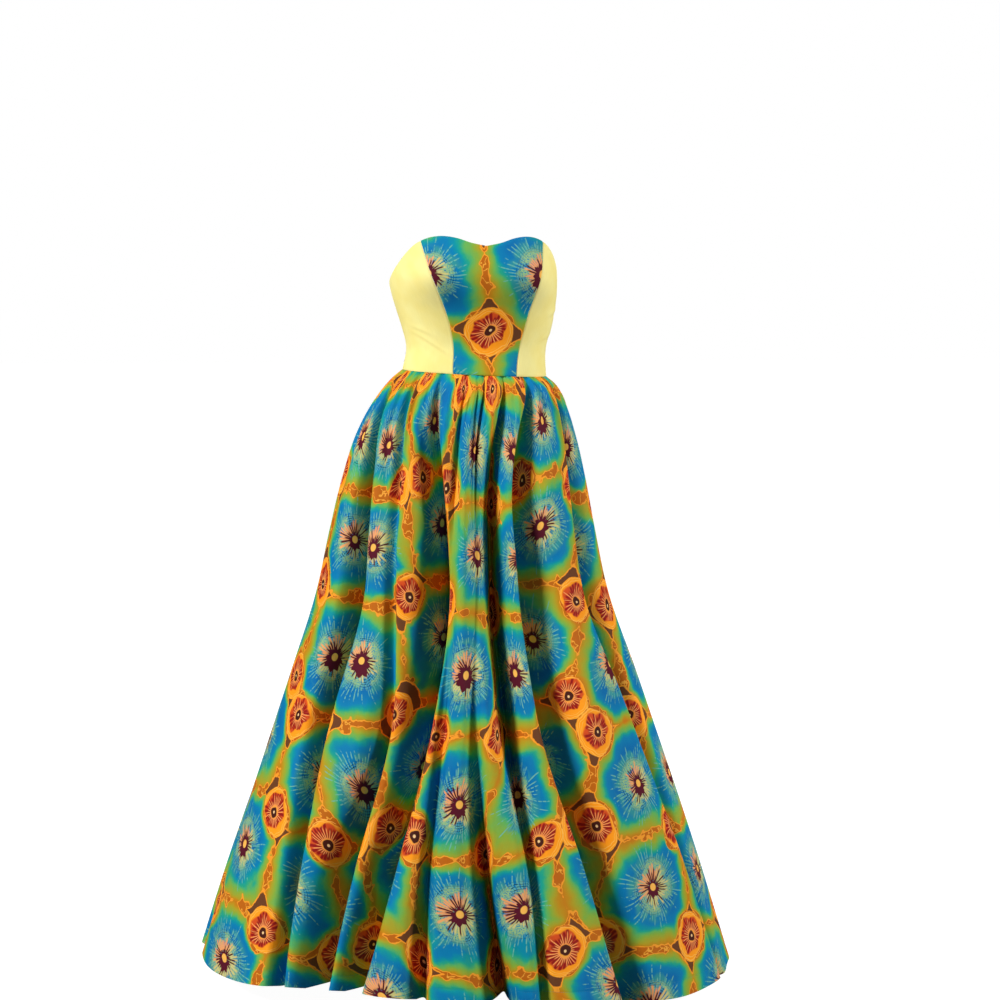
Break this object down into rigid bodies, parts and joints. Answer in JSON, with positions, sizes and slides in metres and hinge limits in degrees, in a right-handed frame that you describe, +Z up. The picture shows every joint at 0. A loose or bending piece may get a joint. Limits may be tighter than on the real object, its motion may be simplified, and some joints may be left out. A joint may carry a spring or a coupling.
{
  "type": "strapless ankara wax print dress",
  "caption": "Floor-length strapless dress with a sweetheart bodice, princess seams, plain side panels and a full gathered skirt in wax print.",
  "frame": {"origin": "middle of the waist, at the height of the waist seam", "axes": "+Z up along the body, -Y out of the front, +X towards the wearer's left"},
  "size_m": [0.9799, 0.8367, 1.3381],
  "materials": {
    "wax_print_cotton": "printed cotton",
    "yellow_cotton": "plain dyed cotton",
    "zip_tape_weave": "woven tape",
    "zip_enamel": "gloss enamel"
  },
  "bodies": {
    "garment": {"bodice_centre_front": "wax_print_cotton", "bodice_side_right": "yellow_cotton", "bodice_side_left": "yellow_cotton", "bodice_back_right": "yellow_cotton", "bodice_back_left": "yellow_cotton", "skirt_front": "wax_print_cotton", "skirt_back_right": "wax_print_cotton", "skirt_back_left": "wax_print_cotton", "zip_tape": "zip_tape_weave", "zip_slider": "zip_enamel"},
    "zip_pull": {"zip_pull": "zip_enamel"}
  },
  "joints": [
    {"name": "zip_pull_swing", "type": "hinge", "parent": "garment", "child": "zip_pull", "pos_m": [0.00452, 0.10428, 0.134], "axis": [1, 0, 0], "range_deg": [0, 150]}
  ]
}
